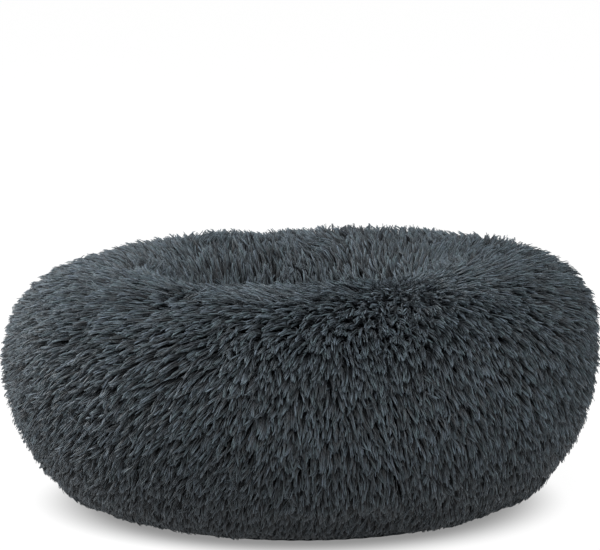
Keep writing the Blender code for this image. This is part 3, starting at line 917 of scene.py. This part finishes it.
def make_binding(material, thread):
    """The tape sewn round the base seam, rounded over its folded edge, with its stitches."""
    low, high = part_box("base_binding")
    inner = BASE["radius"] + 0.0004
    outer = high[0]
    middle, half = (inner + outer) / 2, (outer - inner) / 2
    share = np.linspace(-1, 1, 13)
    bulge = (1 - np.abs(share) ** 4) ** 0.5
    centre_z, half_z = (low[2] + high[2]) / 2, (high[2] - low[2]) / 2
    radius = middle + half * share
    top = turned_grid(radius, centre_z + half_z * bulge + 1e-5, 360)
    bottom = turned_grid(radius, centre_z - half_z * bulge - 1e-5, 360)
    theta = np.arange(360) * 2 * pi / 360
    ripple = binding_ripple(theta)
    for grid in (top, bottom):
        grid[..., 2] += ripple
        grid[..., 0] *= 1 + 0.3 * ripple / middle
        grid[..., 1] *= 1 + 0.3 * ripple / middle
    mesh = close_grid("binding", top, bottom, wrap=True)
    piece = add_piece("binding", mesh, material, stands_for=["base_binding"])
    count = int(2 * pi * middle / BINDING_STITCH)
    theta = np.arange(count) * 2 * pi / count
    line = middle - 0.35 * half
    x, y = line * np.cos(theta), line * np.sin(theta)
    along = np.stack([-np.sin(theta), np.cos(theta), np.zeros(count)], axis=-1)
    height = centre_z - half_z + binding_ripple(theta)
    places = np.stack([x, y, height], axis=-1)
    mesh = stitch_mesh("binding_stitches", places, along, 0.0025, 0.00026)
    stitches = add_piece(mesh.name, mesh, thread)


def make_zip_half(word, side, tape_material, coil_material):
    """One tape of the zip and the nylon coil along its edge."""
    low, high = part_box(f"zip_tape_{word}")
    near, far = sorted((abs(low[1]), abs(high[1])))
    x = np.linspace(low[0], high[0], 220)
    y = side * np.linspace(near, far, 14)[:, None]
    xx, yy = np.broadcast_arrays(x[None, :], y)
    away = smooth_step(np.abs(yy), near, near + 0.006)
    z = low[2] + 0.00012 * away * (1 + np.sin(xx * 210 + 1.2 * np.sin(xx * 77)))
    bottom = np.stack([xx, yy, z], axis=-1)
    top = np.stack([xx, yy, z + 0.00042], axis=-1)
    mesh = close_grid(f"zip_cloth_{word}", top, bottom)
    piece = add_piece(mesh.name, mesh, tape_material, stands_for=[f"zip_tape_{word}"])

    low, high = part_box(f"zip_coil_{word}")
    near, far = sorted((abs(low[1]), abs(high[1])))
    near -= 0.00015
    count = int((high[0] - low[0] - COIL_PITCH) / COIL_PITCH) * COIL_STEPS
    step = np.arange(count + 1)
    turn = 2 * pi * step / COIL_STEPS
    shift = 0.25 * COIL_PITCH * side
    flat = np.sign(np.cos(turn)) * np.abs(np.cos(turn)) ** 0.6
    centre = np.stack(
        [
            low[0] + 0.5 * COIL_PITCH + shift + COIL_PITCH * step / COIL_STEPS,
            side * ((near + far) / 2 + ((far - near) / 2 - COIL_WIRE) * flat),
            (low[2] + high[2]) / 2 + ((high[2] - low[2]) / 2 - COIL_WIRE) * np.sin(turn),
        ],
        axis=-1,
    )
    mesh = wire_mesh(f"zip_teeth_{word}", centre, COIL_WIRE)
    add_piece(mesh.name, mesh, coil_material, stands_for=[f"zip_coil_{word}"])


def wire_mesh(name, centre, radius):
    """A round wire along a line of points, with closed ends."""
    along = np.gradient(centre, axis=0)
    along /= np.linalg.norm(along, axis=1, keepdims=True)
    side = np.cross(along, [1.0, 0.0, 0.0])
    side /= np.linalg.norm(side, axis=1, keepdims=True)
    other = np.cross(along, side)
    builder = bmesh.new()
    loops = []
    for step in range(ROUND_SIDES):
        angle = 2 * pi * step / ROUND_SIDES
        offset = radius * (cos(angle) * side + sin(angle) * other)
        loops.append([builder.verts.new(point) for point in centre + offset])
    for step in range(ROUND_SIDES):
        one, two = loops[step], loops[(step + 1) % ROUND_SIDES]
        for place in range(len(centre) - 1):
            builder.faces.new((one[place], one[place + 1], two[place + 1], two[place]))
    builder.faces.new([loop[0] for loop in loops])
    builder.faces.new([loop[-1] for loop in reversed(loops)])
    return finish_mesh(builder, name)


def make_label(material):
    """A blank satin label, folded double, its free end curling up a little into the fur."""
    low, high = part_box("care_label")
    centre = np.array([(low[0] + high[0]) / 2, (low[1] + high[1]) / 2])
    angle = atan2(centre[1], centre[0])
    middle = hypot(*centre)
    width, length = LABEL_SIZE
    out = np.linspace(-0.5, 0.5, 32) * length
    across = np.linspace(-0.5, 0.5, 22) * width
    grid_out, grid_across = np.meshgrid(out, across, indexing="ij")
    share = grid_out / length + 0.5
    lift = 0.0042 * share**2.2 * (1 + 0.25 * np.sin(grid_across * 240))
    x = (middle + grid_out) * cos(angle) - grid_across * sin(angle)
    y = (middle + grid_out) * sin(angle) + grid_across * cos(angle)
    bottom = np.stack([x, y, low[2] + lift], axis=-1)
    top = np.stack([x, y, low[2] + lift + 0.00045], axis=-1)
    mesh = close_grid("label", top, bottom)
    piece = add_piece("label", mesh, material, stands_for=["care_label"])


def refine_metal(node, material, width):
    """A CAD metal part, kept as it is, with its edges broken by a small bevel."""
    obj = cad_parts[node]
    obj.data.materials.clear()
    obj.data.materials.append(material)
    bevel = obj.modifiers.new("edge", "BEVEL")
    bevel.width = width
    bevel.segments = 2
    bevel.limit_method = "ANGLE"
    bevel.angle_limit = radians(35)
    bevel.use_clamp_overlap = True


# ---------------------------------------------------------------- materials


def new_material(name, roughness, specular):
    material = bpy.data.materials.new(name)
    material.use_nodes = True
    shader = material.node_tree.nodes["Principled BSDF"]
    shader.inputs["Roughness"].default_value = roughness
    shader.inputs["Specular IOR Level"].default_value = specular
    return material, material.node_tree, shader


def feed(tree, socket, value):
    """Gives a socket another node's output, or a plain value."""
    if isinstance(value, bpy.types.NodeSocket):
        tree.links.new(value, socket)
    else:
        socket.default_value = value


def add_ramp(tree, value, stops, blend="EASE"):
    """The colour that the stops give for this value."""
    ramp = tree.nodes.new("ShaderNodeValToRGB")
    ramp.color_ramp.interpolation = blend
    while len(ramp.color_ramp.elements) < len(stops):
        ramp.color_ramp.elements.new(0.5)
    for element, (place, colour) in zip(ramp.color_ramp.elements, stops):
        element.position = place
        element.color = (*colour, 1.0)
    tree.links.new(value, ramp.inputs["Fac"])
    return ramp.outputs["Color"]


def mix_colours(tree, one, two, blend, factor=1.0):
    mix = tree.nodes.new("ShaderNodeMix")
    mix.data_type = "RGBA"
    mix.blend_type = blend
    for word, value in (("Factor", factor), ("A", one), ("B", two)):
        feed(tree, mix.inputs[word], value)
    return mix.outputs["Result"]


def combine_values(tree, one, two, operation):
    maths = tree.nodes.new("ShaderNodeMath")
    maths.operation = operation
    for socket, value in zip(maths.inputs, (one, two)):
        feed(tree, socket, value)
    return maths.outputs["Value"]


def map_value(tree, value, low, high, start=(0.0, 1.0), blend="LINEAR"):
    """Turns values between the two of start into values from low to high."""
    spread = tree.nodes.new("ShaderNodeMapRange")
    spread.interpolation_type = blend
    words = ("From Min", "From Max", "To Min", "To Max")
    for word, number in zip(words, (*start, low, high)):
        spread.inputs[word].default_value = number
    tree.links.new(value, spread.inputs["Value"])
    return spread.outputs["Result"]


def object_place(tree, stretch=(1, 1, 1), turn=0.0):
    """Places on the object, stretched and turned about Z."""
    place = tree.nodes.new("ShaderNodeTexCoord")
    mapping = tree.nodes.new("ShaderNodeMapping")
    mapping.inputs["Scale"].default_value = stretch
    mapping.inputs["Rotation"].default_value = (0.0, 0.0, turn)
    tree.links.new(place.outputs["Object"], mapping.inputs["Vector"])
    return mapping.outputs["Vector"]


def noise_value(tree, scale, detail, stretch=(1, 1, 1)):
    noise = tree.nodes.new("ShaderNodeTexNoise")
    noise.inputs["Scale"].default_value = scale
    noise.inputs["Detail"].default_value = detail
    tree.links.new(object_place(tree, stretch), noise.inputs["Vector"])
    return noise.outputs["Fac"]


def band_value(tree, threads_per_metre, direction):
    """Soft parallel bands across x, y or along the diagonal, 0 to 1."""
    wave = tree.nodes.new("ShaderNodeTexWave")
    wave.wave_type = "BANDS"
    wave.bands_direction = direction
    wave.inputs["Scale"].default_value = threads_per_metre / BANDS_PER_SCALE
    wave.inputs["Distortion"].default_value = 0.2
    wave.inputs["Detail"].default_value = 0.0
    tree.links.new(object_place(tree), wave.inputs["Vector"])
    return wave.outputs["Fac"]


def colour_by(tree, shader, value, stops):
    tree.links.new(add_ramp(tree, value, stops), shader.inputs["Base Color"])


def bump_by(tree, shader, value, strength, distance):
    bump = tree.nodes.new("ShaderNodeBump")
    bump.inputs["Strength"].default_value = strength
    bump.inputs["Distance"].default_value = distance
    tree.links.new(value, bump.inputs["Height"])
    tree.links.new(bump.outputs["Normal"], shader.inputs["Normal"])


def roughness_by(tree, shader, value, low, high):
    tree.links.new(map_value(tree, value, low, high), shader.inputs["Roughness"])


def fur_material(name, root, middle, tip):
    """Dark at the root and lighter at the tip, a little different from lock to lock; on the ring the
    map's u also carries painted shade, darker locks near the floor.
    """
    material, tree, shader = new_material(name, 0.55, 0.38)
    shader.inputs["Sheen Weight"].default_value = 0.12
    shader.inputs["Sheen Roughness"].default_value = 0.45
    shader.inputs["Sheen Tint"].default_value = (0.72, 0.82, 0.92, 1.0)
    where = tree.nodes.new("ShaderNodeUVMap")
    where.uv_map = "OFBake"
    split = tree.nodes.new("ShaderNodeSeparateXYZ")
    tree.links.new(where.outputs["UV"], split.inputs["Vector"])
    along = add_ramp(tree, split.outputs["Y"], [(0.05, root), (0.50, middle), (0.95, tip)])
    noise = tree.nodes.new("ShaderNodeTexNoise")
    noise.noise_dimensions = "1D"
    noise.inputs["Scale"].default_value = 37.0
    noise.inputs["Detail"].default_value = 1.0
    tree.links.new(split.outputs["X"], noise.inputs["W"])
    uneven = noise.outputs["Fac"]
    shade = map_value(tree, uneven, 0.75, 1.25, (0.25, 0.75))
    # Lock brightness from u: a random tone, and on the ring also painted shade near the floor.
    lock = map_value(tree, split.outputs["X"], *LOCK_SHADES)
    strength = combine_values(tree, shade, lock, "MULTIPLY")
    tint = add_ramp(tree, uneven, list(zip((0.35, 0.65), LOCK_TINTS)))
    tinted = mix_colours(tree, along, tint, "MULTIPLY")
    colour = mix_colours(tree, tinted, strength, "MULTIPLY")
    tree.links.new(colour, shader.inputs["Base Color"])
    return material


def grainy_material(name):
    """One of the grainy materials, uneven in colour, roughness and relief."""

    def build(dark, light, scale, roughness, depth=0.0002, stretch=(1, 1, 1)):
        material, tree, shader = new_material(name, sum(roughness) / 2, 0.3)
        value = noise_value(tree, scale, 4.0, stretch)
        colour_by(tree, shader, value, [(0.35, dark), (0.68, light)])
        roughness_by(tree, shader, value, *roughness)
        bump_by(tree, shader, value, 0.8, depth)
        return material

    return build(*GRAINY[name])


def woven_material(name, dark, light, threads, diagonal=False):
    """Cloth whose two sets of threads cross, with slubs and a little unevenness."""
    material, tree, shader = new_material(name, 0.8, 0.25)
    warp = band_value(tree, threads, "DIAGONAL" if diagonal else "X")
    weft = band_value(tree, threads, "Y")
    if diagonal:
        weave = combine_values(tree, warp, weft, "MULTIPLY")
    else:
        weave = combine_values(tree, combine_values(tree, warp, weft, "ADD"), 0.5, "MULTIPLY")
    slub = noise_value(tree, 160.0, 3.0)
    value = combine_values(tree, combine_values(tree, weave, 0.6, "MULTIPLY"), slub, "ADD")
    value = combine_values(tree, value, 0.62, "MULTIPLY")
    colour_by(tree, shader, value, [(0.25, dark), (0.75, light)])
    roughness_by(tree, shader, value, 0.95, 0.7)
    bump_by(tree, shader, weave, 0.7, 0.00015)
    return material


def base_material():
    """Dark close-woven cloth with rows of small rubber grip dots."""
    material, tree, shader = new_material("base_weave", 0.8, 0.25)
    bands = [band_value(tree, BASE_THREADS, direction) for direction in "XY"]
    weave = combine_values(tree, *bands, "MULTIPLY")
    slub = noise_value(tree, 120.0, 4.0)
    grip = tree.nodes.new("ShaderNodeTexVoronoi")
    grip.feature = "F1"
    grip.inputs["Scale"].default_value = 115.0
    grip.inputs["Randomness"].default_value = 0.0
    tree.links.new(object_place(tree, (1.0, 1.0, 0.0), radians(45)), grip.inputs["Vector"])
    dot = map_value(tree, grip.outputs["Distance"], 0.0, 1.0, (0.20, 0.16))
    mixed = combine_values(tree, combine_values(tree, weave, 0.5, "MULTIPLY"), slub, "ADD")
    mixed = combine_values(tree, mixed, 0.7, "MULTIPLY")
    cloth = add_ramp(tree, mixed, [(0.2, (0.012, 0.014, 0.017)), (0.8, (0.045, 0.052, 0.060))])
    rubber = (0.006, 0.006, 0.007, 1.0)
    colour = mix_colours(tree, cloth, rubber, "MIX", dot)
    tree.links.new(colour, shader.inputs["Base Color"])
    height = combine_values(tree, combine_values(tree, weave, 0.25, "MULTIPLY"), dot, "ADD")
    bump_by(tree, shader, height, 0.8, 0.0004)
    roughness_by(tree, shader, dot, 0.88, 0.5)
    return material


def metal_material():
    """Satin metal with fine marks."""
    material, tree, shader = new_material("zip_metal", 0.32, 0.5)
    shader.inputs["Metallic"].default_value = 1.0
    value = noise_value(tree, 900.0, 5.0, (1, 6, 1))
    colour_by(tree, shader, value, [(0.3, (0.20, 0.205, 0.21)), (0.7, (0.36, 0.365, 0.37))])
    roughness_by(tree, shader, value, 0.24, 0.46)
    bump_by(tree, shader, value, 0.3, 0.00003)
    return material


# ---------------------------------------------------------------- stage


def grey_glow(tree, value, low, high):
    """A grey that goes evenly from low to high with the value."""
    return add_ramp(tree, value, [(0.0, (low,) * 3), (1.0, (high,) * 3)], "LINEAR")


def make_stage():
    """The sky, and a floor with a painted shadow round the bed. Neither belongs to the part."""
    scene = bpy.context.scene
    scene.view_settings.view_transform = "Standard"
    world = bpy.data.worlds.new("studio")
    world.use_nodes = True
    tree = world.node_tree
    direction = tree.nodes.new("ShaderNodeTexCoord")
    split = tree.nodes.new("ShaderNodeSeparateXYZ")
    tree.links.new(direction.outputs["Generated"], split.inputs["Vector"])
    glow = grey_glow(tree, split.outputs["Z"], SKY_LOW, SKY_HIGH)
    tree.links.new(glow, tree.nodes["Background"].inputs["Color"])
    scene.world = world
    builder = bmesh.new()
    bmesh.ops.create_grid(builder, x_segments=1, y_segments=1, size=FLOOR_SIZE)
    mesh = bpy.data.meshes.new("floor")
    builder.to_mesh(mesh)
    builder.free()
    floor = bpy.data.objects.new("floor", mesh)
    scene.collection.objects.link(floor)
    material, tree, shader = new_material("floor_white", 0.7, 0.1)
    shader.inputs["Base Color"].default_value = (FLOOR_WHITE,) * 3 + (1,)
    distance = tree.nodes.new("ShaderNodeVectorMath")
    distance.operation = "LENGTH"
    tree.links.new(object_place(tree), distance.inputs[0])
    # Painted shadow: the floor's glow is lower close round the bed.
    spread = map_value(tree, distance.outputs["Value"], 0.0, 1.0, PAINTED_FLOOR_SHADOW_RADII, "SMOOTHSTEP")
    glow = grey_glow(tree, spread, FLOOR_GLOW_IN_PAINTED_SHADOW, FLOOR_GLOW_FAR)
    tree.links.new(glow, shader.inputs["Emission Color"])
    shader.inputs["Emission Strength"].default_value = 1.0
    mesh.materials.append(material)


def set_down(name, data, place, direction):
    """A light or camera at this place that looks in this direction."""
    obj = bpy.data.objects.new(name, data)
    bpy.context.scene.collection.objects.link(obj)
    obj.location = place
    obj.rotation_mode = "QUATERNION"
    obj.rotation_quaternion = direction.to_track_quat("-Z", "Y")
    return obj


def add_light(name, place, target, side, power_watts):
    light = bpy.data.lights.new(name, "AREA")
    light.shape = "RECTANGLE"
    light.size = light.size_y = side
    light.energy = power_watts
    set_down(name, light, place, Vector(target) - Vector(place))


def make_camera():
    """A long lens a little above the bed; the aim leaves room above for the pet."""
    elevation = radians(CAMERA_ELEVATION)
    camera = bpy.data.cameras.new("camera")
    camera.lens = CAMERA_LENS
    back = Vector((0, -cos(elevation), sin(elevation)))
    place = Vector(CAMERA_AIM) + back * CAMERA_DISTANCE
    bpy.context.scene.camera = set_down("camera", camera, place, -back)


def make_hidden_layers():
    """What lies inside the covers: stuffed bags, their seams and the fibre filling."""
    bag, thread, fibre = map(grainy_material, ("liner_nonwoven", "liner_thread", "fibre_fill"))
    for node in ("rim_liner_upper", "rim_liner_lower", "seat_liner_top", "seat_liner_bottom"):
        piece = soften(node, f"{node}_cloth", bag, 0.00015)
    for node in ("rim_liner_outer_seam", "rim_liner_inner_seam", "seat_liner_seam"):
        soften(node, f"{node}_stitching", thread, 0.00004, 0.0036)
    for node in ("rim_fill", "seat_fill"):
        piece = soften(node, f"{node}_fibre", fibre, 0.00020, 0.024)


make_camera()
make_stage()
for name, settings in LIGHTS.items():
    add_light(name, *settings)

section = Section(RING)
swell_ring(section)
knit = grainy_material("fur_backing")
ring_fur = fur_material("ring_fur", *RING_COLOURS)
seat_fur = fur_material("seat_fur", *SEAT_COLOURS)
thread = grainy_material("seam_thread")
tape = woven_material("zip_tape", (0.010, 0.012, 0.014), (0.035, 0.040, 0.046), 1500, diagonal=True)
nylon = grainy_material("zip_nylon")
binding = woven_material("binding_tape", (0.010, 0.012, 0.015), (0.034, 0.040, 0.047), 1100)
wadding = grainy_material("wadding")
satin = grainy_material("label_satin")

make_ring_backing(section, knit)
make_ring_fur(section, ring_fur)
make_seat_backing(SEAT, swell_seat(SEAT), knit)
make_seat_fur(SEAT, seat_fur)
make_hidden_layers()
make_binding(binding, thread)
base_cloth = base_material()
for word, side in (("front", -1), ("back", 1)):
    make_base(word, side, base_cloth, wadding, thread)
    make_zip_half(word, side, tape, nylon)
make_label(satin)
soften("seat_seam_thread", "seat_seam_stitching", thread, 0.00006, 0.0036)
metal = metal_material()
for node, width in BEVELS.items():
    refine_metal(node, metal, width)
